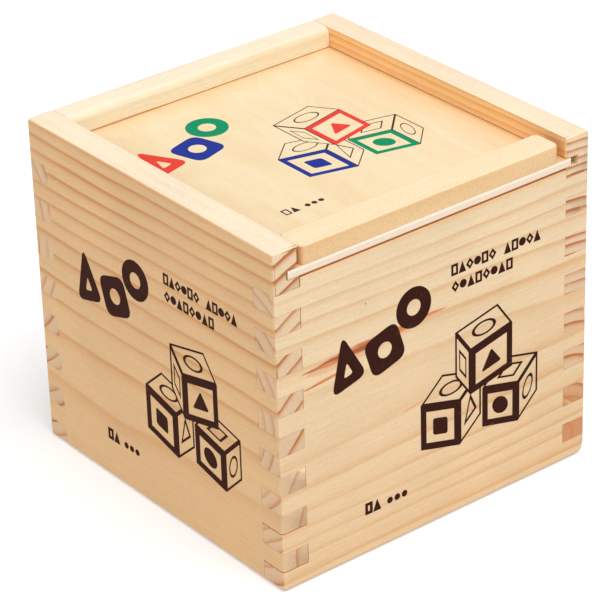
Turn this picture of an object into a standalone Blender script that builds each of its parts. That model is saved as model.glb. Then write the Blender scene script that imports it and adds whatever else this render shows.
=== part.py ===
"""A square finger-jointed wooden box with a sliding lid, packed with a puzzle of 27 wooden cubes.

Units are metres, +Z is up. The box stands on z = 0 with its centre on the Z axis.
The front, where the lid slides out, faces -Y, and the left side faces -X.

Four boards meet in finger joints. The front and back boards own the even rows of fingers, counted
from the bottom, and the side boards own the odd rows and the whole of the top two rows.
The lid is a thin plywood panel with a grip strip glued along its front edge. It runs in a groove
in the side boards and the back board, over the lower front board.
"""

import math

import bmesh
import bpy
from mathutils import Matrix
from mathutils import Vector

# Driving dimensions.
SIDE = 0.110  # outer width and depth of the box
FINGER = 0.006  # height of one row of fingers
FINGER_ROWS = 17  # rows of fingers in the full height
WALL = 0.0085  # thickness of the four boards
CUBE_COUNT = 3  # cubes along each direction
BOTTOM_THICKNESS = 0.003
LID_THICKNESS = 0.0025
GAP = 0.0003  # clearance between neighbouring pieces

# The four boards.
HEIGHT = FINGER * FINGER_ROWS
TOP_ROWS = 2  # rows at the top that belong to the side boards alone
EASED_EDGE = 0.0012  # rounding of the outer edges
EASED_SEGMENTS = 3
TRIM = 0.002  # how far a board stands proud before the outline trims it

# The bottom panel, let into a rebate around the foot of the boards.
REBATE_WIDTH = 0.004

# The lid and its groove.
GROOVE_BOTTOM = 0.0930
GROOVE_TOP = GROOVE_BOTTOM + LID_THICKNESS + 2 * GAP
GROOVE_DEPTH = 0.0042
LID_CLEARANCE = 0.0004  # from the groove's floor down to the top of the front board
FRONT_TOP = GROOVE_BOTTOM - LID_CLEARANCE
LID_WIDTH = 0.0982
LID_LENGTH = 0.1050
LID_OFFSET = -0.0010  # the lid's play leaves it a little to the left
LID_EASED_EDGE = 0.0003
STRIP_WIDTH = 0.0897
STRIP_DEPTH = 0.0095
STRIP_BELOW_RIM = 0.0008
STRIP_TOP = HEIGHT - STRIP_BELOW_RIM
STRIP_CORNER_RADIUS = 0.002
STRIP_CORNER_SEGMENTS = 5
STRIP_EASED_EDGE = 0.0005

# The cubes.
INSIDE = SIDE - 2 * WALL
CUBE_SPACE_HEIGHT = GROOVE_BOTTOM + GAP - BOTTOM_THICKNESS
CUBE = (CUBE_SPACE_HEIGHT - (CUBE_COUNT + 1) * GAP) / CUBE_COUNT
CUBE_SIDE_GAP = (INSIDE - CUBE_COUNT * CUBE) / (CUBE_COUNT + 1)
CUBE_CHAMFER = 0.0012

LAYER_NAMES = ("bottom", "middle", "top")
ROW_NAMES = ("front", "centre", "back")
COLUMN_NAMES = ("left", "mid", "right")

HALF = SIDE / 2
INNER = HALF - WALL
SMOOTH_ANGLE = math.radians(35)

# Colours, linear.
PINE_COLOUR = (0.80, 0.56, 0.33)
PLYWOOD_COLOUR = (0.86, 0.66, 0.41)
STRIP_COLOUR = (0.76, 0.52, 0.28)
CUBE_COLOUR = (0.82, 0.62, 0.38)


def remove_all_objects():
    for old in list(bpy.data.objects):
        bpy.data.objects.remove(old, do_unlink=True)


def new_collection(name):
    collection = bpy.data.collections.new(name)
    bpy.context.scene.collection.children.link(collection)
    return collection


def wood_material(name, colour, roughness):
    material = bpy.data.materials.new(name)
    material.use_nodes = True
    shader = material.node_tree.nodes["Principled BSDF"]
    shader.inputs["Base Color"].default_value = (*colour, 1.0)
    shader.inputs["Roughness"].default_value = roughness
    shader.inputs["Metallic"].default_value = 0.0
    return material


def boxes_mesh(name, boxes):
    """One mesh holding a closed box for each pair of low and high corners."""
    bm = bmesh.new()
    for low, high in boxes:
        size = Vector(high) - Vector(low)
        centre = (Vector(high) + Vector(low)) / 2
        place = Matrix.Translation(centre) @ Matrix.Diagonal((*size, 1.0))
        bmesh.ops.create_cube(bm, size=1.0, matrix=place)
    mesh = bpy.data.meshes.new(name)
    bm.to_mesh(mesh)
    bm.free()
    return mesh


def make_piece(name, low, high, material, collection):
    """A box-shaped piece with its origin at its own centre."""
    half_size = (Vector(high) - Vector(low)) / 2
    mesh = boxes_mesh(name, [(-half_size, half_size)])
    mesh.materials.append(material)
    piece = bpy.data.objects.new(name, mesh)
    piece.location = (Vector(high) + Vector(low)) / 2
    collection.objects.link(piece)
    return piece


def make_cutter(name, boxes, collection):
    cutter = bpy.data.objects.new(name, boxes_mesh(name, boxes))
    cutter.display_type = "WIRE"
    cutter.hide_render = True
    collection.objects.link(cutter)
    return cutter


def add_boolean(piece, cutter, operation):
    modifier = piece.modifiers.new(cutter.name, "BOOLEAN")
    modifier.operation = operation
    modifier.solver = "EXACT"
    modifier.object = cutter


def add_bevel(piece, width, segments):
    modifier = piece.modifiers.new("eased_edges", "BEVEL")
    modifier.width = width
    modifier.segments = segments
    modifier.limit_method = "ANGLE"
    modifier.angle_limit = SMOOTH_ANGLE


def row_span(first_row, last_row_end):
    """Heights of a notch over whole finger rows, widened by half the clearance at each end."""
    return first_row * FINGER - GAP / 2, last_row_end + GAP / 2


def notch_spans_for_side_boards():
    """The even rows, where the fingers of the front and back boards pass through."""
    rows = range(0, FINGER_ROWS - TOP_ROWS, 2)
    return [row_span(row, (row + 1) * FINGER) for row in rows]


def notch_spans_for_end_boards():
    """The odd rows and the top rows, which belong to the side boards."""
    rows = range(1, FINGER_ROWS - TOP_ROWS, 2)
    spans = [row_span(row, (row + 1) * FINGER) for row in rows]
    spans.append(row_span(FINGER_ROWS - TOP_ROWS, HEIGHT + TRIM))
    return spans


def make_outline(collection):
    """The outside of the finished box, which trims every board flush and rounds its edges."""
    low = (-HALF, -HALF, 0.0)
    high = (HALF, HALF, HEIGHT)
    outline = make_cutter("outline", [(low, high)], collection)
    add_bevel(outline, EASED_EDGE, EASED_SEGMENTS)
    return outline


def make_notch_cutters(collection):
    """One cutter with the side boards' notches, and one with those of the front and back boards."""
    reach = HALF + TRIM
    seat = INNER - GAP
    side_boxes = []
    for low_z, high_z in notch_spans_for_side_boards():
        side_boxes.append(((-reach, -reach, low_z), (reach, -seat, high_z)))
        side_boxes.append(((-reach, seat, low_z), (reach, reach, high_z)))
    end_boxes = []
    for low_z, high_z in notch_spans_for_end_boards():
        end_boxes.append(((-reach, -reach, low_z), (-seat, reach, high_z)))
        end_boxes.append(((seat, -reach, low_z), (reach, reach, high_z)))
    side_notches = make_cutter("side_board_notches", side_boxes, collection)
    end_notches = make_cutter("end_board_notches", end_boxes, collection)
    return side_notches, end_notches


def make_pocket_cutters(collection):
    """The rebate for the bottom panel and the groove for the lid, which is open at the front."""
    rebate = INNER + REBATE_WIDTH
    rebate_box = ((-rebate, -rebate, -TRIM), (rebate, rebate, BOTTOM_THICKNESS + GAP))
    groove = INNER + GROOVE_DEPTH
    groove_box = ((-groove, -HALF - TRIM, GROOVE_BOTTOM), (groove, groove, GROOVE_TOP))
    bottom_rebate = make_cutter("bottom_rebate", [rebate_box], collection)
    lid_groove = make_cutter("lid_groove", [groove_box], collection)
    return bottom_rebate, lid_groove


def make_boards(parts, cutters, material):
    """The four boards: each is cut long, notched and grooved, and trimmed by the outline."""
    outline = make_outline(cutters)
    side_notches, end_notches = make_notch_cutters(cutters)
    bottom_rebate, lid_groove = make_pocket_cutters(cutters)
    outer = HALF + TRIM
    base = -TRIM
    top = HEIGHT + TRIM
    boards = (
        ("left_wall", (-outer, -outer, base), (-INNER, outer, top), side_notches, lid_groove),
        ("right_wall", (INNER, -outer, base), (outer, outer, top), side_notches, lid_groove),
        ("back_wall", (-outer, INNER, base), (outer, outer, top), end_notches, lid_groove),
        ("front_wall", (-outer, -outer, base), (outer, -INNER, FRONT_TOP), end_notches, None),
    )
    for name, low, high, notches, groove in boards:
        board = make_piece(name, low, high, material, parts)
        add_boolean(board, outline, "INTERSECT")
        add_boolean(board, notches, "DIFFERENCE")
        add_boolean(board, bottom_rebate, "DIFFERENCE")
        if groove is not None:
            add_boolean(board, groove, "DIFFERENCE")


def make_bottom_panel(parts, material):
    reach = INNER + REBATE_WIDTH - GAP
    low = (-reach, -reach, 0.0)
    high = (reach, reach, BOTTOM_THICKNESS)
    return make_piece("bottom_panel", low, high, material, parts)


def make_lid_panel(parts, material):
    low_z = GROOVE_BOTTOM + GAP
    low = (LID_OFFSET - LID_WIDTH / 2, -HALF, low_z)
    high = (LID_OFFSET + LID_WIDTH / 2, -HALF + LID_LENGTH, low_z + LID_THICKNESS)
    panel = make_piece("lid_panel", low, high, material, parts)
    add_bevel(panel, LID_EASED_EDGE, 1)
    return panel


def round_upright_edges(mesh, radius, segments):
    bm = bmesh.new()
    bm.from_mesh(mesh)
    upright = [edge for edge in bm.edges if (edge.verts[0].co - edge.verts[1].co).xy.length < GAP]
    bmesh.ops.bevel(
        bm,
        geom=upright,
        offset=radius,
        segments=segments,
        profile=0.5,
        affect="EDGES",
    )
    bm.to_mesh(mesh)
    bm.free()


def make_lid_strip(parts, material):
    """The grip strip, which stands on the lid panel with its face flush with the panel's edge."""
    low_z = GROOVE_BOTTOM + LID_THICKNESS + 2 * GAP
    low = (LID_OFFSET - STRIP_WIDTH / 2, -HALF, low_z)
    high = (LID_OFFSET + STRIP_WIDTH / 2, -HALF + STRIP_DEPTH, STRIP_TOP)
    strip = make_piece("lid_strip", low, high, material, parts)
    round_upright_edges(strip.data, STRIP_CORNER_RADIUS, STRIP_CORNER_SEGMENTS)
    strip.data.shade_smooth()
    strip.data.set_sharp_from_angle(angle=SMOOTH_ANGLE)
    add_bevel(strip, STRIP_EASED_EDGE, 2)
    return strip


def make_cubes(parts, material):
    """The puzzle's cubes, three along each direction, which share one chamfered mesh."""
    half_size = Vector((CUBE, CUBE, CUBE)) / 2
    mesh = boxes_mesh("puzzle_cube", [(-half_size, half_size)])
    mesh.materials.append(material)
    pitch_xy = CUBE + CUBE_SIDE_GAP
    pitch_z = CUBE + GAP
    first_xy = -INNER + CUBE_SIDE_GAP + CUBE / 2
    first_z = BOTTOM_THICKNESS + GAP + CUBE / 2
    for layer, layer_name in enumerate(LAYER_NAMES):
        for row, row_name in enumerate(ROW_NAMES):
            for column, column_name in enumerate(COLUMN_NAMES):
                name = f"cube_{layer_name}_{row_name}_{column_name}"
                cube = bpy.data.objects.new(name, mesh)
                x = first_xy + column * pitch_xy
                y = first_xy + row * pitch_xy
                cube.location = (x, y, first_z + layer * pitch_z)
                parts.objects.link(cube)
                add_bevel(cube, CUBE_CHAMFER, 1)


def main():
    remove_all_objects()
    parts = new_collection("boxed_cube_puzzle")
    cutters = new_collection("cutters")
    pine = wood_material("pine", PINE_COLOUR, 0.55)
    plywood = wood_material("plywood", PLYWOOD_COLOUR, 0.50)
    strip_wood = wood_material("strip_wood", STRIP_COLOUR, 0.55)
    cube_wood = wood_material("cube_wood", CUBE_COLOUR, 0.50)
    make_boards(parts, cutters, pine)
    make_bottom_panel(parts, plywood)
    make_lid_panel(parts, plywood)
    make_lid_strip(parts, strip_wood)
    make_cubes(parts, cube_wood)


main()
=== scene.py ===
"""The looks of a finger-jointed pine box with a sliding plywood lid, packed with 27 wooden cubes."""

import math
from contextlib import contextmanager

import bmesh
import bpy
from mathutils import Matrix, Vector


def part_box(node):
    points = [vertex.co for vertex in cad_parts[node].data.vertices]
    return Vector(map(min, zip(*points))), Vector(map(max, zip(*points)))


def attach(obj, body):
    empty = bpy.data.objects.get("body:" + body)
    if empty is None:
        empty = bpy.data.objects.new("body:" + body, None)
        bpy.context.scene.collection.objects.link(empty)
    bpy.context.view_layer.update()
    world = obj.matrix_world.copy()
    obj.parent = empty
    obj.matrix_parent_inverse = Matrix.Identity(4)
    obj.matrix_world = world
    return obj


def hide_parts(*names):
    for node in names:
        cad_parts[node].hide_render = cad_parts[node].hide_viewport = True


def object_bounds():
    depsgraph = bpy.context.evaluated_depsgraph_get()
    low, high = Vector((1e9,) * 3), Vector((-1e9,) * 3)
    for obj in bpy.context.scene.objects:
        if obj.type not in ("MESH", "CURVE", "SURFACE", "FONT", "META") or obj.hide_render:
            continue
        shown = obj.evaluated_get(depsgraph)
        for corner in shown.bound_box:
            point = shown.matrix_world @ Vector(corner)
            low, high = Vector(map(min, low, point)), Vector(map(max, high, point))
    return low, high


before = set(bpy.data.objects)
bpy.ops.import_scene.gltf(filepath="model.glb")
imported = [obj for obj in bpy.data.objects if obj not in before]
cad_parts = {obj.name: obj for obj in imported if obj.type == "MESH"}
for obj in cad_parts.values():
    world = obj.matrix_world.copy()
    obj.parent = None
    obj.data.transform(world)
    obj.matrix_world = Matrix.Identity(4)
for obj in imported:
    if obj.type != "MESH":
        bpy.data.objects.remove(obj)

MM = 0.001
CAD_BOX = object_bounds()

# The box as the frame gives it. Its front, where the lid comes out, faces -Y, and its left side -X.
HIGH = CAD_BOX[1]
HEIGHT = HIGH.z
HALF = HIGH.x
INNER = -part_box("left_wall")[1].x  # the boards' inner faces
FILM = 0.035 * MM  # how far a print stands proud, as much as it sinks in
FACE = HALF - FILM  # the boards' outer faces, which the prints bring out to the box's full size
FRONT_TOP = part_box("front_wall")[1].z
LID_LOW, LID_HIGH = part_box("lid_panel")
STRIP_LOW, STRIP_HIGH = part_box("lid_strip")
BOTTOM_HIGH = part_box("bottom_panel")[1]

# Finger joints: seventeen rows in the height, the top two of them plain.
FINGER_ROWS = 17
PLAIN_ROWS = 2
FINGER = HEIGHT / FINGER_ROWS
TIGHT = 0.05 * MM  # a glued joint
OPEN_JOINT = 0.26 * MM  # the two joints at the foot of the near corner that glue left open
OPEN_ROWS = (0, 2)
# The gaps beside the near corner's fingers on the front face, in millimetres, by row.
SEAT_GAPS = {1: 0.18, 3: 0.06, 5: 0.15, 7: 0.05, 9: 0.14, 11: 0.16, 13: 0.20, 15: 0.30}
GROOVE_DEPTH = 4.2 * MM
GROOVE_CLEARANCE = 0.2 * MM
REBATE_CLEARANCE = 0.1 * MM
OVERCUT = 2 * MM  # how far a cutter reaches beyond what it cuts

# Roundings.
CORNER_RADIUS = 1.1 * MM
CORNER_SEGMENTS = 6
WORN_CORNER_RADIUS = 1.8 * MM
WORN_REACH = 3.6 * MM  # how far from the worn corner the box is back to its usual roundness
RIM_RADIUS = {"left_wall": 1.2 * MM, "right_wall": 1.2 * MM, "back_wall": 2.2 * MM, "front_wall": 0.3 * MM}
RIM_SEGMENTS = 6
FRONT_RIM_SEGMENTS = 3
ARRIS = 0.09 * MM  # the broken edge of every sawn corner
LID_ARRIS = 0.15 * MM
ARRIS_SEGMENTS = 2
STRIP_CORNERS = (2.0 * MM, 10)  # radius and segments
STRIP_TOP_EDGES = (0.6 * MM, 4)
BEVEL_ANGLE = math.radians(40)  # edges that turn more than this are bevelled
SHARP_ANGLE = math.radians(50)  # those that turn more than this are shaded as sharp
FLAT_ANGLE = math.radians(0.05)  # faces that differ by less than this become one
MERGE_DISTANCE = 0.028 * MM  # nearer points become one, which clears the slivers that bevels leave
SAME_PLACE = 0.02 * MM
LEAN = 0.1 * MM  # how far apart the ends of an upright edge may be, seen from above


# ---- mesh helpers ----


def new_object(name, mesh):
    made = bpy.data.objects.new(name, mesh)
    bpy.context.scene.collection.objects.link(made)
    return made


@contextmanager
def editing(mesh):
    """The mesh as a bmesh, written back at the end."""
    bm = bmesh.new()
    bm.from_mesh(mesh)
    yield bm
    bm.to_mesh(mesh)
    bm.free()


def boxes_object(name, boxes):
    mesh = bpy.data.meshes.new(name)
    with editing(mesh) as bm:
        for low, high in boxes:
            size = Vector(high) - Vector(low)
            centre = (Vector(high) + Vector(low)) / 2
            place = Matrix.Translation(centre) @ Matrix.Diagonal((*size, 1.0))
            bmesh.ops.create_cube(bm, size=1.0, matrix=place)
    return new_object(name, mesh)


def add_boolean(piece, cutter, operation="DIFFERENCE"):
    modifier = piece.modifiers.new("cut", "BOOLEAN")
    modifier.operation = operation
    modifier.solver = "EXACT"
    modifier.object = cutter


def add_bevel(piece, width, segments):
    modifier = piece.modifiers.new("bevel", "BEVEL")
    modifier.width = width
    modifier.segments = segments
    modifier.limit_method = "ANGLE"
    modifier.angle_limit = BEVEL_ANGLE


def apply_modifiers(piece):
    """Replaces the piece's mesh by what its modifiers make of it."""
    depsgraph = bpy.context.evaluated_depsgraph_get()
    mesh = bpy.data.meshes.new_from_object(piece.evaluated_get(depsgraph), depsgraph=depsgraph)
    piece.modifiers.clear()
    piece.data = mesh
    mesh.name = piece.name


def round_edges(piece, chosen, radius, segments):
    """Rounds the edges whose two ends `chosen` accepts."""
    with editing(piece.data) as bm:
        edges = [edge for edge in bm.edges if chosen(edge.verts[0].co, edge.verts[1].co)]
        bmesh.ops.bevel(bm, geom=edges, offset=radius, segments=segments, profile=0.5, affect="EDGES")


def shade(mesh):
    """Shades the rounded edges smooth and keeps the others sharp."""
    mesh.shade_smooth()
    mesh.set_sharp_from_angle(angle=SHARP_ANGLE)


def finish_surface(piece, arris=ARRIS):
    """Breaks the sharp edges, and keeps the flat faces flat beside the smooth ones."""
    add_bevel(piece, arris, ARRIS_SEGMENTS)
    apply_modifiers(piece)
    with editing(piece.data) as bm:
        bmesh.ops.remove_doubles(bm, verts=bm.verts, dist=MERGE_DISTANCE)
    shade(piece.data)
    normals = piece.modifiers.new("flat_faces", "WEIGHTED_NORMAL")
    normals.keep_sharp = True


# ---- shader helpers ----

WOOD_SPECULAR = 0.3
INK_SPECULAR = 0.02
INK_BUMP = 0.03 * MM


class Tree:
    """A material's node tree, with short names for the nodes used here."""

    def __init__(self, name):
        self.material = bpy.data.materials.new(name)
        self.material.use_nodes = True
        self.nodes = self.material.node_tree.nodes
        self.links = self.material.node_tree.links

    def fill(self, node, inputs):
        """Sets or links a node's inputs, which go by number or by name."""
        for key, value in inputs.items():
            if isinstance(value, bpy.types.NodeSocket):
                self.links.new(value, node.inputs[key])
            else:
                node.inputs[key].default_value = value

    def node(self, kind, inputs, **settings):
        made = self.nodes.new("ShaderNode" + kind)
        for name, value in settings.items():
            setattr(made, name, value)
        self.fill(made, inputs)
        return made

    def math(self, operation, a, b=0.0, clamp=False):
        return self.node("Math", {0: a, 1: b}, operation=operation, use_clamp=clamp).outputs[0]

    def plus(self, first, *others):
        for other in others:
            first = self.math("ADD", first, other)
        return first

    def minus(self, a, b):
        return self.math("SUBTRACT", a, b)

    def times(self, first, *others):
        for other in others:
            first = self.math("MULTIPLY", first, other)
        return first

    def over(self, a, b):
        return self.math("DIVIDE", a, b)

    def vector(self, operation, a, b=(0, 0, 0)):
        outputs = self.node("VectorMath", {0: a, 1: b}, operation=operation).outputs
        return outputs["Value"] if operation in ("LENGTH", "DOT_PRODUCT") else outputs[0]

    def scaled(self, vector, *factors):
        return self.vector("MULTIPLY", vector, factors)

    def combine(self, x, y, z):
        return self.node("CombineXYZ", {0: x, 1: y, 2: z}).outputs[0]

    def separate(self, vector):
        return self.node("SeparateXYZ", {0: vector}).outputs

    def grey(self, value):
        return self.combine(value, value, value)

    def stretched(self, x, y, z, slow, quick):
        """A place for noise that changes slowly along x and quickly across it."""
        return self.combine(self.times(x, slow), self.times(y, quick), self.times(z, quick))

    def noise(self, vector, detail=2.0, roughness=0.5, distortion=0.0):
        inputs = {"Vector": vector, "Scale": 1.0, "Detail": detail, "Roughness": roughness}
        return self.node("TexNoise", {**inputs, "Distortion": distortion}).outputs["Fac"]

    def white(self, value):
        return self.node("TexWhiteNoise", {"W": value}, noise_dimensions="1D").outputs["Value"]

    def ramp(self, value, stops):
        """A value curve through (place, value) stops."""
        made = self.node("ValToRGB", {"Fac": value})
        elements = made.color_ramp.elements
        while len(elements) < len(stops):
            elements.new(0.5)
        for element, (place, height) in zip(elements, stops):
            element.position = place
            element.color = (height, height, height, 1.0)
        return made.outputs["Color"]

    def span(self, value, low, high, to_low=0.0, to_high=1.0, smooth=False):
        """Carries one range over to another and stops at its ends."""
        inputs = {0: value, 1: low, 2: high, 3: to_low, 4: to_high}
        shape = "SMOOTHSTEP" if smooth else "LINEAR"
        return self.node("MapRange", inputs, interpolation_type=shape).outputs[0]

    def mix(self, factor, a, b, blend="MIX"):
        # The node numbers its inputs and output like this in colour mode.
        inputs = {0: factor, 6: a, 7: b}
        return self.node("Mix", inputs, data_type="RGBA", blend_type=blend, clamp_factor=True).outputs[2]

    def tinted(self, colour, tint):
        """A colour times another, given as a socket or as red, green and blue."""
        tint = tint if isinstance(tint, bpy.types.NodeSocket) else (*tint, 1.0)
        return self.mix(1.0, colour, tint, "MULTIPLY")

    def bump(self, height, distance, strength):
        return self.node("Bump", {"Height": height, "Distance": distance, "Strength": strength}).outputs[0]

    def place(self):
        """The surface point in millimetres, and its normal, both fixed to the object."""
        outputs = self.node("TexCoord", {}).outputs
        return self.scaled(outputs["Object"], 1 / MM, 1 / MM, 1 / MM), outputs["Normal"]

    def finish(self, colour, roughness, specular=WOOD_SPECULAR, **others):
        """The material. The surface's other inputs go by name."""
        inputs = {"Base Color": colour, "Roughness": roughness, "Specular IOR Level": specular, **others}
        self.fill(self.nodes["Principled BSDF"], inputs)
        return self.material


def rgb(red, green, blue):
    """A linear colour from 0 to 255 display values."""
    shares = [value / 255 for value in (red, green, blue)]
    return (*[share / 12.92 if share < 0.04 else ((share + 0.055) / 1.055) ** 2.4 for share in shares], 1.0)


# ---- wood ----

EARLY_WOOD = rgb(238, 217, 185)
LATE_WOOD = rgb(213, 154, 90)
END_WOOD = rgb(220, 184, 147)
END_LATE_WOOD = rgb(190, 110, 52)
PALE_END_WOOD = rgb(240, 216, 180)
# Painted contact shade along the foot of the walls.
FOOT_CONTACT_SHADE = rgb(160, 124, 98)
# Painted highlight of the upward faces.
RIM_HIGHLIGHT = rgb(245, 230, 204)
HEART_WOOD = rgb(198, 130, 78)
RESIN = rgb(226, 130, 62)
DARK_RESIN = rgb(150, 62, 36)

VENEER = (rgb(243, 223, 187), rgb(237, 211, 166))
VENEER_FLECK = rgb(214, 170, 122)
VENEER_EDGE_SHADE = (0.80, 0.42, 0.12)  # painted warm shade near the recess's walls; multiplies the veneer's colour
OUTER_PLY = rgb(246, 234, 218)
MIDDLE_PLY = rgb(236, 217, 194)
LOWER_PLY = rgb(230, 198, 170)
PLY_SPECK = rgb(196, 156, 118)
# The strip's top colours are paler than its side colours: a painted highlight.
STRIP_TOP_HIGHLIGHT = (rgb(246, 227, 190), rgb(242, 219, 178))
STRIP_SIDE = (rgb(234, 198, 148), rgb(226, 185, 133))
STRIP_END = rgb(204, 142, 88)
STRIP_FLECK = rgb(206, 154, 100)
CUBE_WOOD = (rgb(240, 212, 170), rgb(228, 192, 144))
CUBE_END = rgb(214, 180, 142)

WANDER = 1.4  # how far a ring strays along the board, in millimetres
RIPPLE = 0.35  # and how far it does so over a shorter stretch

# The share of late wood against the depth below a ring's outer edge, as a part of RING_DEPTH millimetres.
RING_DEPTH = 4.0
RING_PROFILE = (
    (0.0, 0.40), (0.03, 1.0), (0.10, 0.88), (0.19, 0.55), (0.33, 0.24), (0.50, 0.08), (0.70, 0.0), (1.0, 0.0),
)


class Board:
    """How a board was sawn from the log, in millimetres, and how its wood looks.

    Its length runs along an axis, parallel to the pith, and the growth rings are circles round the pith. The
    tones multiply a colour.
    """

    along = "x"
    pith = (0.0, 0.0)  # its place across the board and its height
    first_ring = 50.0  # the radius of one ring's outer edge
    spacing = 4.0  # the width of the rings there
    narrowing = 0.0  # how much narrower they get further out
    taper = 0.0  # how much they slant along the board
    seed = 0.0
    tone = (1.0, 1.0, 1.0)
    contrast = 1.0  # the strength of the rings
    quiet = None  # where they fade: an axis, its places with full and faint rings, and what is left
    deepening = 0.0  # how much darker the wood gets towards the foot
    heart = 0.0  # the radius of the darker wood round the pith
    streaks = ()  # of resin, each as the last arguments of resin_streak
    inner_painted_light = (1.0, 1.0, 1.0)  # painted bounce light on the face that looks inwards, as a tone on top of the board's tone
    rim = RIM_HIGHLIGHT  # the colour that upward faces tend to: a painted highlight; on the front board, painted warm bounce light in the gap under the lid
    end_tone = (1.0, 1.0, 1.0)
    end_contrast = 2.0
    end_fade = 0.0  # how much paler the end grain gets with height

    def __init__(self, **settings):
        vars(self).update(settings)


def pine_surface(t, board):
    """Growth rings round the pith, fibres along the board, and duller end grain.
    Returns the colour, a height for bump and the share of late wood."""
    point, normal = t.place()
    x, y, z = t.separate(point)
    nx, ny, nz = t.separate(normal)
    length, across, end_normal = (x, y, nx) if board.along == "x" else (y, x, ny)
    end = t.span(t.math("ABSOLUTE", end_normal), 0.6, 0.8)
    late = growth_rings(t, board, length, across, z)
    colour = t.mix(late, EARLY_WOOD, LATE_WOOD)
    for streak in board.streaks:
        resin, dark = resin_streak(t, length, z, *streak)
        colour = t.mix(resin, colour, RESIN)
        colour = t.mix(dark, colour, DARK_RESIN)
    colour = t.mix(t.span(z, 100.0, 0.0, 0.0, board.deepening), colour, LATE_WOOD)
    colour = t.tinted(colour, board.tone)
    # Faces that look into the box get a brighter tone: painted bounce light, on the inner face only.
    if board.inner_painted_light != Board.inner_painted_light:
        inward = t.vector("DOT_PRODUCT", t.scaled(point, 1.0, 1.0, 0.0), normal)
        colour = t.mix(t.span(inward, -20.0, -30.0), colour, t.tinted(colour, board.inner_painted_light))
    colour = t.mix(end, colour, end_grain(t, board, z, late))
    if board.heart:
        depth = pith_distance(t, board, across, z)
        near_pith = t.span(depth, board.heart + 3.0, board.heart - 6.0, smooth=True)
        colour = t.mix(t.times(near_pith, t.span(end, 0.0, 1.0, 0.35, 0.85)), colour, HEART_WOOD)
    # Upward faces tend to the board's rim colour: a painted highlight on the rims, and painted warm bounce
    # light on the front board's top in the gap under the lid.
    colour = t.mix(t.times(t.span(nz, 0.5, 0.9), 0.8), colour, board.rim)
    # The lowest millimetre darkens towards the foot colour: painted contact shade where the box meets the
    # floor.
    colour = t.mix(t.span(z, 1.0, 0.1, 0.0, 0.45), colour, FOOT_CONTACT_SHADE)
    # Fibres, hairlines, broad lines and pores: long streaks on the faces, and dots on the end grain.
    fibre = t.noise(t.stretched(length, across, z, 0.07, 2.2), detail=3.0, roughness=0.6)
    fine = t.noise(t.stretched(length, across, z, 0.30, 6.0), roughness=0.6)
    lines = t.noise(t.stretched(length, across, z, 0.012, 0.8))
    pores = t.noise(t.stretched(length, across, z, 0.9, 2.4), detail=1.0)
    cloud = t.noise(t.vector("ADD", t.scaled(point, 0.035, 0.035, 0.035), (board.seed,) * 3))
    grain = t.plus(
        t.span(fibre, 0.25, 0.75, 0.935, 1.05),
        t.span(fine, 0.3, 0.7, -0.045, 0.045),
        t.span(lines, 0.3, 0.7, -0.022, 0.022),
        t.span(pores, 0.3, 0.7, -0.032, 0.032),
    )
    grain = t.times(grain, t.span(cloud, 0.3, 0.7, 0.965, 1.03))
    height = t.plus(t.times(late, 0.5), t.times(fibre, 0.5), t.times(fine, 0.35))
    return t.tinted(colour, t.grey(grain)), height, late


def end_grain(t, board, z, late):
    """The colour of a board's ends, where the rings are narrower and stronger than on its faces."""
    colour = t.mix(t.span(z, 35.0, 100.0, 0.0, board.end_fade), END_WOOD, PALE_END_WOOD)
    rings = t.math("MULTIPLY", t.math("POWER", late, 1.25), board.end_contrast, clamp=True)
    return t.tinted(t.mix(rings, colour, END_LATE_WOOD), board.end_tone)


def pith_distance(t, board, across, z):
    across_pith, above_pith = t.minus(across, board.pith[0]), t.minus(z, board.pith[1])
    return t.vector("LENGTH", t.combine(across_pith, above_pith, 0.0))


def growth_rings(t, board, length, across, z):
    """The share of late wood: it darkens slowly towards each ring's outer edge and stops short there."""
    seed = board.seed
    slow = t.vector("ADD", t.stretched(length, across, z, 0.012, 0.03), (seed, seed * 1.7, 3.1))
    quick = t.vector("ADD", t.stretched(length, across, z, 0.04, 0.16), (seed * 2.3, 5.0, seed))
    radius = pith_distance(t, board, across, z)
    for noise, reach in ((t.noise(slow, detail=1.0), WANDER), (t.noise(quick), RIPPLE)):
        radius = t.plus(radius, t.times(t.minus(noise, 0.5), reach * 2))
    radius = t.plus(radius, t.times(length, board.taper))
    beyond = t.minus(radius, board.first_ring)
    # The whole part of `ring` numbers the rings. `passed` is how far a point is past its ring's inner edge.
    ring = t.times(beyond, t.plus(1 / board.spacing, t.times(beyond, board.narrowing)))
    uneven = t.noise(t.combine(t.times(ring, 0.45), seed, 0.0), detail=0.0)
    ring = t.plus(ring, t.times(t.minus(uneven, 0.5), 0.7))
    width = t.over(1.0, t.plus(1 / board.spacing, t.times(beyond, 2 * board.narrowing)))
    passed = t.times(t.math("FRACT", ring), width)
    share = t.ramp(t.over(t.minus(width, passed), RING_DEPTH), RING_PROFILE)
    share = t.math("MAXIMUM", share, t.span(passed, 0.0, 0.25, 0.4, 0.0))
    strength = t.span(t.white(t.plus(t.math("FLOOR", ring), seed * 7.0)), 0.0, 1.0, 0.55, 1.0)
    fade = t.span(t.noise(t.scaled(quick, 0.5, 0.4, 0.4)), 0.3, 0.7, 0.6, 1.0)
    if board.quiet:
        axis, full, faint, least = board.quiet
        strength = t.times(strength, t.span(length if axis == board.along else z, full, faint, 1.0, least))
    return t.times(share, strength, fade, board.contrast)


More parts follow.
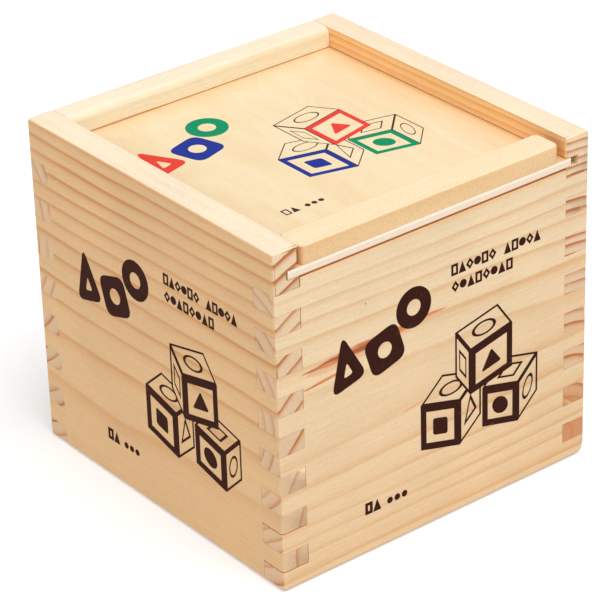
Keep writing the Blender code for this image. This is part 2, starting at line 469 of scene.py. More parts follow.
def resin_streak(t, length, z, middle, reach, width, rise, dark, strength):
    """A spindle of resinous wood along a board: a side branch cut lengthwise, pointed at both ends.
    Returns how strong the resin and its dark lines are."""
    along = t.over(t.minus(length, middle[0]), reach)
    ripple = t.noise(t.combine(t.times(length, 0.10), t.times(z, 0.4), middle[1]), detail=3.0)
    centre = t.plus(middle[1], t.times(along, rise))
    centre = t.plus(centre, t.times(t.minus(ripple, 0.5), width * 1.2))
    taper = t.math("SUBTRACT", 1.0, t.times(along, along), clamp=True)
    half = t.math("MAXIMUM", t.times(taper, width), 0.02)
    away = t.over(t.math("ABSOLUTE", t.minus(z, centre)), half)
    body = t.times(t.span(away, 1.15, 0.35, smooth=True), t.span(taper, 0.0, 0.15))
    lines = t.noise(t.combine(t.times(length, 0.06), t.times(z, 1.5), middle[1] + 4.0), detail=3.0)
    core = t.times(t.span(lines, 0.42, 0.52), t.times(body, t.span(along, 0.5, -0.1)))
    return t.times(body, strength), t.times(core, dark)


LID_SEED = 2.0
BOTTOM_SEED = 6.0
PLYWOOD_BUMP = 0.03  # in millimetres

# How the lid's veneer darkens towards the recess's sides with painted warm shade, from EDGE_SHADE_START
# beyond them:
# strength against the distance, as a part of EDGE_SHADE_REACH. At the back it does so faster. Both are in
# millimetres.
EDGE_SHADE_START = 1.0
EDGE_SHADE_REACH = 15.0
EDGE_SHADE_HASTE_AT_BACK = 1.5
EDGE_SHADE_PROFILE = (
    (0.0, 0.2), (0.067, 0.58), (0.13, 0.46), (0.22, 0.32), (0.38, 0.20), (0.63, 0.09), (0.93, 0.0),
)

# The share of the middle ply against the height in the panel.
PLY_PROFILE = ((0.0, 0.0), (0.30, 0.0), (0.33, 1.0), (0.67, 1.0), (0.70, 0.0), (1.0, 0.0))


def plywood_surface(t, seed, border=0.0):
    """Pale rotary-cut veneer, its grain along Y, with the lid's three plies showing on the edges.
    With a border, in millimetres from the middle, the veneer darkens towards it: painted warm shade near the
    recess's walls."""
    point, normal = t.place()
    x, y, z = t.separate(point)
    face = t.span(t.math("ABSOLUTE", t.separate(normal)[2]), 0.4, 0.8)
    wave = t.noise(t.combine(t.times(x, 0.055), t.times(y, 0.012), seed), detail=3.0, distortion=0.6)
    band = t.noise(t.combine(t.times(wave, 9.0), seed, 0.0), detail=1.0)
    fibre = t.noise(t.combine(t.times(x, 2.0), t.times(y, 0.10), seed), detail=3.0, roughness=0.6)
    fleck = t.noise(t.combine(t.times(x, 4.0), t.times(y, 0.7), seed + 4.0), detail=1.0)
    colour = t.mix(t.span(band, 0.35, 0.65), *VENEER)
    colour = t.mix(t.times(t.span(fleck, 0.60, 0.75), 0.30), colour, VENEER_FLECK)
    colour = t.tinted(colour, t.grey(t.span(fibre, 0.25, 0.75, 0.965, 1.03)))
    if border:
        sides = t.minus(border + EDGE_SHADE_START, t.math("ABSOLUTE", x))
        back = t.times(t.minus(border + EDGE_SHADE_START, y), EDGE_SHADE_HASTE_AT_BACK)
        reach = t.over(t.math("MINIMUM", sides, back), EDGE_SHADE_REACH)
        # Painted warm shade on the veneer near the recess's walls.
        colour = t.mix(t.ramp(reach, EDGE_SHADE_PROFILE), colour, t.tinted(colour, VENEER_EDGE_SHADE))
    # The middle ply shows its ends where the outer ones show their sides.
    layer = t.over(t.minus(z, LID_LOW.z / MM), (LID_HIGH.z - LID_LOW.z) / MM)
    edge = t.mix(t.ramp(layer, PLY_PROFILE), OUTER_PLY, MIDDLE_PLY)
    speck = t.noise(t.scaled(point, 1.6, 1.6, 5.0), detail=3.0, roughness=0.7)
    edge = t.mix(t.times(t.span(speck, 0.5, 0.75), 0.35), edge, PLY_SPECK)
    edge = t.mix(t.span(layer, 0.45, 0.1, 0.0, 0.8), edge, LOWER_PLY)
    height = t.plus(t.times(fibre, 0.6), t.times(fleck, 0.3))
    return t.mix(face, edge, colour), height, band


def strip_surface(t):
    """Beech-like strip wood with short fine flecks along X."""
    point, normal = t.place()
    x, y, z = t.separate(point)
    nx, _, nz = t.separate(normal)
    fleck = t.noise(t.stretched(x, y, z, 1.1, 2.6), roughness=0.65)
    dust = t.noise(t.scaled(point, 3.0, 5.0, 5.0), roughness=0.7)
    slow = t.span(t.noise(t.stretched(x, y, z, 0.02, 0.15)), 0.3, 0.7)
    side = t.span(nz, 0.9, 0.5)
    end = t.span(t.math("ABSOLUTE", nx), 0.3, 0.9, 0.0, 0.85)
    # The tops take the paler colours: a painted highlight.
    colour = t.mix(side, t.mix(slow, *STRIP_TOP_HIGHLIGHT), t.mix(slow, *STRIP_SIDE))
    colour = t.mix(end, colour, STRIP_END)
    flecks = t.times(t.span(fleck, 0.50, 0.70), t.span(side, 0.0, 1.0, 0.25, 0.6))
    colour = t.mix(flecks, colour, STRIP_FLECK)
    colour = t.tinted(colour, t.grey(t.span(dust, 0.3, 0.7, 0.93, 1.06)))
    return colour, t.plus(t.times(fleck, -0.5), t.times(dust, 0.3)), fleck


def cube_surface(t, seed):
    """Plain pale basswood with faint straight grain along X."""
    point, normal = t.place()
    x, y, z = t.separate(t.vector("ADD", point, (seed * 37.0, seed * 11.0, seed * 53.0)))
    slow = t.noise(t.stretched(x, y, z, 0.02, 0.22), detail=3.0)
    fibre = t.noise(t.stretched(x, y, z, 0.12, 2.4), detail=3.0)
    end = t.span(t.math("ABSOLUTE", t.separate(normal)[0]), 0.6, 0.8)
    colour = t.mix(t.span(slow, 0.35, 0.65), *CUBE_WOOD)
    colour = t.mix(t.times(end, 0.5), colour, CUBE_END)
    return t.tinted(colour, t.grey(t.span(fibre, 0.25, 0.75, 0.95, 1.04))), fibre, slow


def wood_material(name, surface, *settings, roughness=(0.46, 0.60), depth=0.05):
    """A material from a surface function, with a bump's depth in millimetres."""
    t = Tree(name)
    colour, height, dense = surface(t, *settings)
    rough = t.span(t.plus(t.times(dense, -0.5), height), 0.0, 0.8, *roughness)
    return t.finish(colour, rough, Normal=t.bump(height, depth * MM, 0.6))


def ink_material(name, ink, surface, *settings):
    """A thin film of printing ink that leaves a little of the wood's fibres bare."""
    t = Tree(name)
    wood, height, _ = surface(t, *settings)
    patch = t.noise(t.scaled(t.place()[0], 0.9, 0.9, 0.9), detail=4.0, roughness=0.7)
    cover = t.span(t.plus(t.times(height, 0.45), patch), 0.85, 1.1, 1.0, 0.88)
    film = t.tinted(ink, t.grey(t.span(patch, 0.3, 0.7, 0.92, 1.08)))
    rough = t.span(patch, 0.3, 0.7, 0.42, 0.56)
    return t.finish(t.mix(cover, wood, film), rough, INK_SPECULAR, Normal=t.bump(height, INK_BUMP, 0.5))


# Resin streaks in the front board, the last one a mere speck: middle, reach, width, rise, dark and strength.
FRONT_STREAKS = (
    ((-29.0, 63.6), 17.0, 2.6, 0.9, 0.0, 0.35),
    ((-22.0, 65.1), 26.0, 1.6, 1.3, 1.0, 0.95),
    ((-39.0, 59.7), 8.0, 0.6, 0.8, 0.6, 1.0),
    ((-8.5, 40.0), 4.5, 0.4, 0.8, 0.2, 0.4),
    ((-24.8, 77.3), 0.35, 0.35, 0.0, 1.0, 0.9),
)
BOARDS = {
    "left_wall": Board(
        along="y", pith=(-8.0, 8.0), first_ring=50.0, spacing=6.47, narrowing=0.00114, seed=9.2,
        # The left board's dark, warm tone is partly its own colour and partly painted shade on a face turned
        # from the light.
        tone=(0.815, 0.637, 0.446), contrast=1.1, quiet=("z", 45.0, 15.0, 0.6), rim=rgb(252, 236, 208),
        end_tone=(0.95, 0.95, 0.95), end_fade=0.7,
    ),
    "right_wall": Board(
        along="y", pith=(46.0, 8.0), first_ring=46.1, spacing=3.21, narrowing=0.00112, seed=12.6,
        # The right board's bright tone is partly its own colour and partly painted light, thrown back by the
        # lid onto its inner face.
        tone=(1.14, 0.96, 0.64), heart=17.0, inner_painted_light=(1.04, 0.99, 1.0),
        end_tone=(0.95, 0.95, 0.95), end_fade=0.9,
    ),
    "back_wall": Board(
        pith=(80.0, 66.0), first_ring=31.3, spacing=4.4, seed=5.9,
        tone=(1.11, 1.12, 1.10), contrast=0.7, inner_painted_light=(1.02, 1.12, 1.20),
        end_tone=(0.92, 0.92, 0.87), end_contrast=2.8,
    ),
    "front_wall": Board(
        pith=(-27.0, 48.0), first_ring=29.4, spacing=3.9, taper=0.010, seed=1.3,
        tone=(0.950, 0.919, 0.841), contrast=0.88, quiet=("x", 45.0, -15.0, 0.66), deepening=0.36,
        # Its rim colour lies on its top in the gap under the lid: painted warm bounce light in that shade.
        streaks=FRONT_STREAKS, rim=rgb(241, 168, 100), end_tone=(0.92, 0.92, 0.87), end_contrast=2.3,
    ),
}


# ---- the four walls ----


def side_notches(name, open_rows):
    """Notches for the fingers of the front and back boards. In open rows the front ones are a little tall."""
    reach, seat = HALF + OVERCUT, INNER - TIGHT
    boxes = []
    for row in range(0, FINGER_ROWS - PLAIN_ROWS, 2):
        low_z, high_z = row * FINGER - TIGHT / 2, (row + 1) * FINGER + TIGHT / 2
        gap = OPEN_JOINT if row in open_rows else 0.0
        boxes += [
            ((-reach, -reach, low_z), (reach, -seat, high_z + gap)),
            ((-reach, seat, low_z), (reach, reach, high_z)),
        ]
    return boxes_object(name, boxes)


def end_notches(name):
    """Notches for the fingers of the side boards, and for the plain top rows that those own."""
    reach, seat = HALF + OVERCUT, INNER - TIGHT
    top_row = FINGER_ROWS - PLAIN_ROWS
    boxes = []
    for row in range(1, top_row + 1, 2):
        row_top = HEIGHT + OVERCUT if row == top_row else (row + 1) * FINGER
        low_z, high_z = row * FINGER - TIGHT / 2, row_top + TIGHT / 2
        boxes += [
            ((-reach, -reach, low_z), (SEAT_GAPS[row] * MM - INNER, 0.0, high_z)),
            ((-reach, 0.0, low_z), (-seat, reach, high_z)),
            ((seat, -reach, low_z), (reach, reach, high_z)),
        ]
    return boxes_object(name, boxes)


def outline_object():
    """The box's outer shape: a hull round balls at its corners. The right front one is worn at its foot."""
    radius, worn = CORNER_RADIUS, WORN_CORNER_RADIUS
    balls = []
    for x in (-FACE + radius, FACE - radius):
        for y in (-FACE + radius, FACE - radius):
            for z in (radius, HEIGHT - radius):
                if not (x > 0 > y and z < HEIGHT / 2):
                    balls.append((x, y, z, radius))
    balls += [
        (FACE - worn, -FACE + worn, worn, worn),
        (FACE - WORN_REACH, -FACE + radius, radius, radius),
        (FACE - radius, -FACE + WORN_REACH, radius, radius),
        (FACE - radius, -FACE + radius, WORN_REACH, radius),
    ]
    turns = 4 * CORNER_SEGMENTS
    mesh = bpy.data.meshes.new("outline")
    with editing(mesh) as bm:
        for x, y, z, size in balls:
            place = Matrix.Translation((x, y, z))
            bmesh.ops.create_uvsphere(bm, u_segments=turns, v_segments=turns // 2, radius=size, matrix=place)
        bmesh.ops.delete(bm, geom=list(bm.edges), context="EDGES_FACES")
        bmesh.ops.convex_hull(bm, input=bm.verts)
        bmesh.ops.delete(bm, geom=[point for point in bm.verts if not point.link_faces], context="VERTS")
        bmesh.ops.dissolve_limit(bm, angle_limit=FLAT_ANGLE, verts=bm.verts, edges=bm.edges)
    return new_object("outline", mesh)


def near(value, target):
    return abs(value - target) < SAME_PLACE


def upright(a, b):
    return (a - b).xy.length < LEAN


def make_walls():
    outer, top = HALF + OVERCUT, HEIGHT + OVERCUT
    rebate, rebate_z = BOTTOM_HIGH.x + REBATE_CLEARANCE, BOTTOM_HIGH.z + REBATE_CLEARANCE
    groove = INNER + GROOVE_DEPTH
    groove_low, groove_high = LID_LOW.z - GROOVE_CLEARANCE, LID_HIGH.z + GROOVE_CLEARANCE
    outline = outline_object()
    bottom = ((-rebate, -rebate, -OVERCUT), (rebate, rebate, rebate_z))
    bottom_rebate = boxes_object("bottom_rebate", [bottom])
    lid_groove = boxes_object("lid_groove", [((-groove, -outer, groove_low), (groove, groove, groove_high))])
    left_notches = side_notches("left_notches", OPEN_ROWS)
    right_notches = side_notches("right_notches", ())
    board_notches = end_notches("board_notches")
    # Each board fills its box, less its cuts and what lies outside the outline. The lid clears the front one.
    plans = (
        ("left_wall", (-outer, -outer), (-INNER, outer, top), left_notches),
        ("right_wall", (INNER, -outer), (outer, outer, top), right_notches),
        ("back_wall", (-outer, INNER), (outer, outer, top), board_notches),
        ("front_wall", (-outer, -outer), (outer, -INNER, FRONT_TOP), board_notches),
    )
    for node, low, high, notches in plans:
        wall = boxes_object(node + "_board", [((*low, -OVERCUT), high)])
        add_boolean(wall, outline, "INTERSECT")
        add_boolean(wall, notches)
        add_boolean(wall, bottom_rebate)
        if node != "front_wall":
            add_boolean(wall, lid_groove)
        apply_modifiers(wall)
        round_rim(wall, node)
        finish_surface(wall)
        wall.data.materials.clear()
        wall.data.materials.append(wood_material("pine_" + node, pine_surface, BOARDS[node]))
        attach(wall, "box")
        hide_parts(node)
    for helper in (outline, bottom_rebate, lid_groove, left_notches, right_notches, board_notches):
        bpy.data.objects.remove(helper, do_unlink=True)


def round_rim(wall, node):
    """Rounds the front board's long top edges. On the other boards it rounds the rim's inner edge, and on the
    side boards also the edge that goes down from its front end."""
    axis = 1 if node == "back_wall" else 0

    def front_edge(a, b):
        return abs(a.x - b.x) > INNER and near(a.z, FRONT_TOP) and near(b.z, FRONT_TOP)

    def rim_edge(a, b):
        return all(near(abs(end[axis]), INNER) and near(end.z, HEIGHT) for end in (a, b))

    def end_edge(a, b):
        above_lid = max(a.z, b.z) > LID_HIGH.z + RIM_RADIUS[node]
        return upright(a, b) and above_lid and near(abs(a.x), INNER) and near(a.y, -FACE)

    if node == "front_wall":
        round_edges(wall, front_edge, RIM_RADIUS[node], FRONT_RIM_SEGMENTS)
    else:
        round_edges(wall, lambda a, b: rim_edge(a, b) or end_edge(a, b), RIM_RADIUS[node], RIM_SEGMENTS)


# ---- the lid ----


def make_lid():
    panel = boxes_object("lid_veneer", [(LID_LOW, LID_HIGH)])
    finish_surface(panel, arris=LID_ARRIS)
    wood = wood_material("lid_plywood", plywood_surface, LID_SEED, INNER / MM, depth=PLYWOOD_BUMP)
    panel.data.materials.append(wood)
    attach(panel, "lid")
    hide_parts("lid_panel")

    low = Vector((STRIP_LOW.x, STRIP_LOW.y, LID_HIGH.z))
    strip = boxes_object("lid_grip", [(low, STRIP_HIGH)])

    def top_edge(a, b):
        return near(a.z, STRIP_HIGH.z) and near(b.z, STRIP_HIGH.z)

    round_edges(strip, upright, *STRIP_CORNERS)
    round_edges(strip, top_edge, *STRIP_TOP_EDGES)
    finish_surface(strip)
    strip.data.materials.append(wood_material("strip_wood", strip_surface, roughness=(0.50, 0.64)))
    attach(strip, "lid")
    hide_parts("lid_strip")


# ---- printed shapes ----

INK_BROWN = rgb(56, 27, 20)
INK_RED = rgb(228, 70, 60)
INK_BLUE = rgb(40, 56, 145)
INK_GREEN = rgb(24, 142, 98)
INK_LINE = rgb(76, 54, 44)

# The signs on the stacked blocks: their radii as parts of a face, and a stroke for each millimetre of line.
FILLED_SIGN = 0.22
OPEN_SIGN = 0.27
OPEN_SIGN_STROKE = 0.11
SMALLEST_PART = 0.0005  # in square millimetres, of what a block leaves of those behind it


def vectors(*pairs):
    return [Vector(pair) for pair in pairs]


def regular(centre, radius, sides, turn=0.0):
    turn = math.radians(turn)
    angles = [turn + 2 * math.pi * k / sides for k in range(sides)]
    x, y = centre
    return [Vector((x + radius * math.cos(angle), y + radius * math.sin(angle))) for angle in angles]


def circle(centre, radius):
    return regular(centre, radius, 40)


def rounded(points, radius, steps=6):
    """A polygon with its corners rounded by short curves."""
    made = []
    count = len(points)
    for k, corner in enumerate(points):
        before = (points[k - 1] - corner).normalized() * radius
        after = (points[(k + 1) % count] - corner).normalized() * radius
        for step in range(steps + 1):
            s = step / steps
            made.append(corner + before * (1 - s) ** 2 + after * s ** 2)
    return made


def inset(points, width):
    """A convex polygon, given anticlockwise, moved in by a width."""
    made = []
    count = len(points)
    for k, corner in enumerate(points):
        ahead = (points[(k + 1) % count] - corner).normalized()
        behind = (corner - points[k - 1]).normalized()
        normal_a = Vector((-ahead.y, ahead.x))
        normal_b = Vector((-behind.y, behind.x))
        turn = (normal_a + normal_b).normalized()
        made.append(corner + turn * (width / turn.dot(normal_a)))
    return made


def moved(points, shift):
    return [point + Vector(shift) for point in points]


def block_faces(foot, along, back, size):
    """The framed face, side and top of a block in a parallel view, and its outline, all anticlockwise.
    The framed face stands on `foot` and runs `along`. The side and top go `back`, to the right or left."""
    foot, along, back, up = Vector(foot), Vector(along), Vector(back), Vector((0, size))
    foot_2, foot_3, foot_4 = foot + along, foot + along + back, foot + back
    head, head_2, head_3, head_4 = foot + up, foot_2 + up, foot_3 + up, foot_4 + up
    if back.x > 0:
        side = [foot_2, foot_3, head_3, head_2]
        outline = [foot, foot_2, foot_3, head_3, head_4, head]
    else:
        side = [foot_4, foot, head, head_4]
        outline = [foot, foot_2, head_2, head_3, head_4, foot_4]
    faces = {"framed": [foot, foot_2, head_2, head], "side": side, "top": [head, head_2, head_3, head_4]}
    return faces, outline


def convex_pieces(loops):
    """A convex loop as it is, or the ring between an outer and an inner loop as four-cornered pieces."""
    if len(loops) == 1:
        return loops
    outer, inner = loops
    following = list(range(1, len(outer))) + [0]
    return [[outer[k], outer[n], inner[n], inner[k]] for k, n in enumerate(following)]


def cut_by_line(piece, start, end):
    """The parts of a convex piece left and right of a line."""
    along = end - start
    heights = [along.x * (point.y - start.y) - along.y * (point.x - start.x) for point in piece]
    left, right = [], []
    for k, (point, height) in enumerate(zip(piece, heights)):
        before, before_height = piece[k - 1], heights[k - 1]
        if height * before_height < 0:
            crossing = before.lerp(point, before_height / (before_height - height))
            left.append(crossing)
            right.append(crossing)
        if height >= 0:
            left.append(point)
        if height <= 0:
            right.append(point)
    return left, right


def area(piece):
    return sum(piece[k - 1].x * point.y - piece[k - 1].y * point.x for k, point in enumerate(piece)) / 2


def outside(piece, cover):
    """What a convex cover leaves of a convex piece, as convex pieces."""
    kept = []
    for start, end in zip(cover, cover[1:] + cover[:1]):
        piece, beyond = cut_by_line(piece, start, end)
        if abs(area(beyond)) > SMALLEST_PART:
            kept.append(beyond)
        if abs(area(piece)) <= SMALLEST_PART:
            break
    return kept


def on_face(face, shape):
    """A shape in the unit square, laid on a four-cornered face."""
    origin, along, up = face[0], face[1] - face[0], face[3] - face[0]
    return [origin + along * point.x + up * point.y for point in shape]


def bar_cross(r):
    plan = ((-0.3, -1), (0.3, -1), (0.3, -0.3), (1, -0.3), (1, 0.3), (0.3, 0.3))
    half = [Vector((r * a, r * b)) for a, b in plan]
    return moved(half + [-point for point in half], (0.5, 0.5))


def open_shape(points, width):
    return [points, inset(points, width)]


# Signs in the unit square, from a radius and a stroke. The cubes take them in this order.
SIGNS = {
    "disc": lambda r, w: [circle((0.5, 0.5), r)],
    "triangle": lambda r, w: [rounded(regular((0.5, 0.46), r * 1.25, 3, 90), r * 0.3)],
    "square": lambda r, w: [rounded(regular((0.5, 0.5), r * 1.2, 4, 45), r * 0.3)],
    "ring": lambda r, w: [circle((0.5, 0.5), r), circle((0.5, 0.5), r - w)],
    "cross": lambda r, w: [bar_cross(r)],
    "diamond": lambda r, w: [rounded(regular((0.5, 0.5), r * 1.2, 4, 0), r * 0.2)],
    "open_triangle": lambda r, w: open_shape(regular((0.5, 0.46), r * 1.3, 3, 90), w),
    "hexagon": lambda r, w: open_shape(regular((0.5, 0.5), r * 1.1, 6), w),
    "open_square": lambda r, w: open_shape(regular((0.5, 0.5), r * 1.25, 4, 45), w),
}


# The stacked blocks: role, foot, along, back, height and the signs on the framed face, side and top, in
# millimetres from the stack's origin. The last one stands in front of the others.
BLOCKS = (
    ("low_left", (0.0, 4.7), (14.0, -3.7), (7.8, 6.9), 14.0, ("square", "open_triangle", "ring")),
    ("low_right", (22.3, 3.4), (13.2, -3.2), (7.3, 7.2), 12.3, ("disc", "ring", "open_square")),
    ("high", (17.9, 15.4), (15.4, 3.4), (-5.4, 7.6), 13.8, ("triangle", "open_square", "ring")),
)


def block_shapes(role, faces, signs, thick, thin):
    """A block as (ink role, loops): a bold frame round a filled sign, and outlined faces with open signs."""
    shapes = [(role, open_shape(faces["framed"], thick))]
    shapes.append((role, [on_face(faces["framed"], loop) for loop in SIGNS[signs[0]](FILLED_SIGN, 0)]))
    for side, sign in (("side", signs[1]), ("top", signs[2])):
        loops = SIGNS[sign](OPEN_SIGN, thin * OPEN_SIGN_STROKE)
        shapes.append(("line", open_shape(faces[side], thin)))
        shapes.append(("line", [on_face(faces[side], loop) for loop in loops]))
    return shapes


def block_stack(origin, thick, thin):
    """The stacked blocks as (ink role, loops). The high one hides what lies behind it."""
    shapes = []
    for role, foot, along, back, height, signs in BLOCKS:
        faces, outline = block_faces(Vector(origin) + Vector(foot), along, back, height)
        if role == "high":
            behind = [(name, piece) for name, loops in shapes for piece in convex_pieces(loops)]
            shapes = [(name, [part]) for name, piece in behind for part in outside(piece, outline)]
        shapes += block_shapes(role, faces, signs, thick, thin)
    return shapes


def toy_shapes(at, weight):
    """A bold triangle, square and circle, climbing to the right, with strokes of a weight."""
    corner = Vector(at)
    triangle = moved(vectors((0.3, 1.0), (12.4, 4.2), (4.2, 18.6)), corner)
    square_middle = corner + Vector((18.6, 8.9))
    square = rounded(regular(square_middle, 8.5, 4, 62), 3.2)
    square_hole = regular(square_middle, 6.1 - weight, len(square), 62 - 3 * 360 / len(square))
    circle_middle = corner + Vector((28.8, 18.0))
    return [
        ("first", [rounded(triangle, 3.2), rounded(inset(triangle, weight * 0.85), 1.0)]),
        ("second", [square, square_hole]),
        ("third", [circle(circle_middle, 6.1), circle(circle_middle, 6.1 - weight)]),
    ]


def mark_row(at, pitch, height, stroke, pattern):
    """A row of small plain marks: s an open box, t a triangle, d an open diamond, o a dot."""
    shapes = []
    r, half = height / 2, height * 0.35
    for k, mark in enumerate(pattern):
        middle = (at[0] + pitch * (k + 0.5), at[1] + r)
        box = vectors((-half, -r), (half, -r), (half, r), (-half, r))
        diamond = vectors((0, -r), (half * 1.15, 0), (0, r), (-half * 1.15, 0))
        loops = {
            "s": open_shape(box, stroke),
            "d": open_shape(diamond, stroke * 0.9),
            "t": [vectors((-half * 1.1, -r), (half * 1.1, -r), (0, r))],
            "o": [regular((0, 0), half * 1.05, 24)],
            " ": [],
        }[mark]
        if loops:
            shapes.append(("line", [moved(loop, middle) for loop in loops]))
    return shapes


def print_layout(shift):
    """The print on a wall, in millimetres from the wall's lower left corner."""
    shapes = toy_shapes((17.8 + shift, 52.2), 3.7)
    shapes += mark_row((59.7 + shift, 74.7), 2.71, 3.4, 0.72, "stdosd tsodt")
    shapes += mark_row((59.9 + shift, 69.5), 2.78, 3.4, 0.72, "dotsdots")
    shapes += block_stack((48.6 + shift, 20.2), 2.0, 0.60)
    shapes += mark_row((28.4 + shift, 12.4), 2.9, 3.7, 0.95, "st")
    shapes += mark_row((36.0 + shift, 12.4), 2.6, 2.7, 0.50, "ooo")
    return shapes


def lid_layout():
    shapes = toy_shapes((12.4, 63.8), 3.5)
    shapes += block_stack((43.0, 33.6), 1.6, 0.30)
    shapes += mark_row((24.0, 24.7), 2.6, 3.0, 0.45, "st")
    shapes += mark_row((31.0, 24.7), 2.3, 2.2, 0.40, "ooo")
    return shapes


def add_film(bm, loops):
    """A flat solid from one loop, or from an outer and an inner loop with as many points."""

    def ring(loop, z):
        return [bm.verts.new((x * MM, y * MM, z)) for x, y in loop]

    rings = [(ring(loop, -FILM), ring(loop, FILM)) for loop in loops]
    count = len(loops[0])
    if len(rings) == 1:
        bm.faces.new(rings[0][0])
        bm.faces.new(rings[0][1])
    for k in range(count):
        n = (k + 1) % count
        for low, high in rings:
            bm.faces.new((low[k], low[n], high[n], high[k]))
        if len(rings) == 2:
            for outer, inner in zip(*rings):
                bm.faces.new((outer[k], outer[n], inner[n], inner[k]))


def print_mesh(name, loops_list, place):
    """Thin flat solids from closed loops in millimetres, laid on a face by its matrix."""
    mesh = bpy.data.meshes.new(name)
    with editing(mesh) as bm:
        for loops in loops_list:
            add_film(bm, loops)
        bmesh.ops.recalc_face_normals(bm, faces=bm.faces)
    mesh.transform(place)
    return mesh


def face_matrix(origin, right, up):
    """Carries flat shapes onto a face: x to its right, y up it, z out of it."""
    right, up = Vector(right), Vector(up)
    turn = Matrix((right, up, right.cross(up))).transposed().to_4x4()
    return Matrix.Translation(Vector(origin)) @ turn


# Each wall's face: its lower left corner, its right and how far its print is shifted, in millimetres.
WALL_FACES = (
    ("front", (-HALF, -FACE, 0), (1, 0, 0), 0.0),
    ("left", (-FACE, HALF, 0), (0, -1, 0), 1.8),
    ("back", (HALF, FACE, 0), (-1, 0, 0), 0.6),
    ("right", (FACE, -HALF, 0), (0, 1, 0), -0.5),
)


def make_wall_prints():
    for side, origin, right, shift in WALL_FACES:
        loops = [loops for _, loops in print_layout(shift)]
        mesh = print_mesh("print_" + side, loops, face_matrix(origin, right, (0, 0, 1)))
        mesh.materials.append(ink_material("ink_" + side, INK_BROWN, pine_surface, BOARDS[side + "_wall"]))
        film = new_object("print_" + side, mesh)
        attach(film, "box")


def make_lid_prints():
    inks = (
        ("red", INK_RED, ("first", "high"), "ink_red"),
        ("blue", INK_BLUE, ("second", "low_left"), "ink_blue"),
        ("green", INK_GREEN, ("third", "low_right"), "ink_green"),
        ("line", INK_LINE, ("line",), "ink_brown"),
    )
    shapes = lid_layout()
    place = face_matrix((-HALF, -HALF, LID_HIGH.z), (1, 0, 0), (0, 1, 0))
    for name, ink, roles, slot in inks:
        loops = [loops for role, loops in shapes if role in roles]
        mesh = print_mesh("lid_print_" + name, loops, place)
        mesh.materials.append(ink_material("lid_ink_" + name, ink, plywood_surface, LID_SEED))
        film = new_object("lid_print_" + name, mesh)
        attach(film, "lid")


# ---- the cubes ----

CUBE_ROUNDING = (1.1 * MM, 4)  # radius and segments
CUBE_INKS = (("red", INK_RED), ("blue", INK_BLUE), ("green", INK_GREEN))
CUBE_SIGNS = tuple(SIGNS)
# A cube's top, bottom, front, back, left and right: its first corner, its right and its up.
CUBE_FACES = (
    ((0, 0, 1), (1, 0, 0), (0, 1, 0)),
    ((0, 1, 0), (1, 0, 0), (0, -1, 0)),
    ((0, 0, 0), (1, 0, 0), (0, 0, 1)),
    ((1, 1, 0), (-1, 0, 0), (0, 0, 1)),
    ((0, 1, 0), (0, -1, 0), (0, 0, 1)),
    ((1, 0, 0), (0, 1, 0), (0, 0, 1)),
)

# What is printed on a cube's face, as parts of its width.
FRAME_MARGIN = 0.09
FRAME_WIDTH = 0.085
FRAME_CORNERS = (0.05, 0.03)  # the roundness of its outer and inner outline
CUBE_SIGN = 0.19
CUBE_SIGN_STROKE = 0.07


def cube_face_mesh(sign, size):
    """A frame and a sign on one face of a cube, lying in the plane z = 0."""
    outer = inset(vectors((0, 0), (1, 0), (1, 1), (0, 1)), FRAME_MARGIN)
    inner = inset(outer, FRAME_WIDTH)
    shapes = [
        [rounded(outer, FRAME_CORNERS[0]), rounded(inner, FRAME_CORNERS[1])],
        SIGNS[sign](CUBE_SIGN, CUBE_SIGN_STROKE),
    ]
    scaled = [[[point * (size / MM) for point in loop] for loop in loops] for loops in shapes]
    return print_mesh("cube_face", scaled, Matrix.Identity(4))


def print_cube(block, number, ends, faces):
    """Prints all sides of a cube. The signs and inks change with the side and the cube."""
    with editing(block.data) as bm:
        for side, (corner, right, up) in enumerate(CUBE_FACES):
            origin = [ends[end][axis] for axis, end in enumerate(corner)]
            printed = faces[CUBE_SIGNS[(number * 4 + side * 5) % len(CUBE_SIGNS)]].copy()
            printed.transform(face_matrix(origin, right, up))
            before = len(bm.faces)
            bm.from_mesh(printed)
            bm.faces.ensure_lookup_table()
            for face in bm.faces[before:]:
                face.material_index = 1 + (number + side) % len(CUBE_INKS)
            bpy.data.meshes.remove(printed)


def make_cubes():
    cubes = sorted(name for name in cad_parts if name.startswith("cube_"))
    woods = [wood_material(f"cube_wood_{k}", cube_surface, float(k)) for k in range(3)]
    inks = [ink_material("cube_ink_" + name, ink, cube_surface, 0.0) for name, ink in CUBE_INKS]
    first_low, first_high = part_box(cubes[0])
    faces = {sign: cube_face_mesh(sign, first_high.x - first_low.x) for sign in CUBE_SIGNS}
    for number, node in enumerate(cubes):
        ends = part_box(node)
        block = boxes_object(node + "_block", [ends])
        add_bevel(block, *CUBE_ROUNDING)
        apply_modifiers(block)
        for material in (woods[number % len(woods)], *inks):
            block.data.materials.append(material)
        print_cube(block, number, ends, faces)
        shade(block.data)
        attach(block, "box")
        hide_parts(node)


def finish_bottom_panel():
    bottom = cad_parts["bottom_panel"]
    material = wood_material("bottom_plywood", plywood_surface, BOTTOM_SEED, depth=PLYWOOD_BUMP)
    for slot in bottom.material_slots:
        slot.material = material


# ---- room, light and camera ----

FLOOR_BOX = ((-4, -4, -0.02), (4, 4, -0.0003))  # in metres
FLOOR_SHADES = (0.69, 0.71)
FLOOR_GLOW = 0.46  # keeps the floor as pale as the photo's ground
WORLD_STRENGTH = 0.40

# Azimuth, elevation and softness in degrees, and strength.
SUNS = {"key_softbox": (-3, 66, 40, 2.36), "side_softbox": (-95, 25, 50, 0.60)}


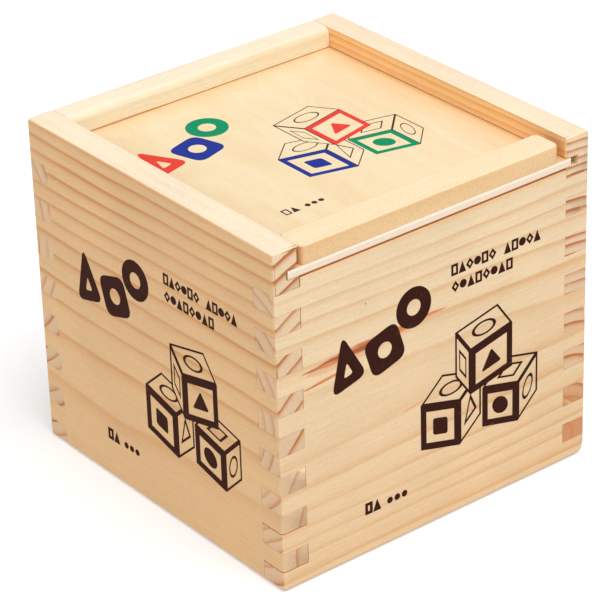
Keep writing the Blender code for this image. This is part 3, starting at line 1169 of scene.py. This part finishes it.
def make_floor():
    floor = boxes_object("floor", [FLOOR_BOX])
    t = Tree("floor_paper")
    cloud = t.noise(t.scaled(t.place()[0], 0.02, 0.02, 0.02))
    white = t.grey(t.span(cloud, 0.3, 0.7, *FLOOR_SHADES))
    glow = {"Emission Color": white, "Emission Strength": FLOOR_GLOW}
    floor.data.materials.append(t.finish(white, 0.8, **glow))


def direction(azimuth, elevation):
    """Towards a viewer at an azimuth, counted from the front to the right, and an elevation."""
    a, e = math.radians(azimuth), math.radians(elevation)
    return Vector((math.sin(a) * math.cos(e), -math.cos(a) * math.cos(e), math.sin(e)))


def look_from(item, back, roll=0.0):
    """Turns a lamp or a camera to look against a direction."""
    item.rotation_mode = "QUATERNION"
    turn = Matrix.Rotation(math.radians(roll), 3, "Z").to_quaternion()
    item.rotation_quaternion = (-back).to_track_quat("-Z", "Y") @ turn


def make_sun(name, azimuth, elevation, softness, strength):
    """A wide source a long way off, so that the floor is lit alike everywhere."""
    light = bpy.data.lights.new(name, "SUN")
    light.angle = math.radians(softness)
    light.energy = strength
    look_from(new_object(name, light), direction(azimuth, elevation))


def make_lights():
    world = bpy.data.worlds.new("studio")
    bpy.context.scene.world = world
    world.use_nodes = True
    background = world.node_tree.nodes["Background"].inputs
    background["Color"].default_value = (1.0, 1.0, 1.0, 1.0)
    background["Strength"].default_value = WORLD_STRENGTH
    for name, settings in SUNS.items():
        make_sun(name, *settings)
    bpy.context.scene.view_settings.view_transform = "Standard"


# Where the camera stands, in degrees and metres, and its lens in millimetres.
CAMERA_AZIMUTH = -37.864
CAMERA_ELEVATION = 28.631
CAMERA_DISTANCE = 0.8543
CAMERA_ROLL = -1.856
CAMERA_LENS = 180.07
CAMERA_CLIP = (0.01, 20.0)
CAMERA_TARGET = (-0.0019, 0.0015, 0.0470)


def make_camera():
    camera = bpy.data.cameras.new("camera")
    camera.lens = CAMERA_LENS
    camera.clip_start, camera.clip_end = CAMERA_CLIP
    holder = new_object("camera", camera)
    back = direction(CAMERA_AZIMUTH, CAMERA_ELEVATION)
    look_from(holder, back, CAMERA_ROLL)
    holder.location = Vector(CAMERA_TARGET) + back * CAMERA_DISTANCE
    bpy.context.scene.camera = holder


make_camera()
make_lights()
make_floor()
make_walls()
make_lid()
make_wall_prints()
make_lid_prints()
make_cubes()
finish_bottom_panel()
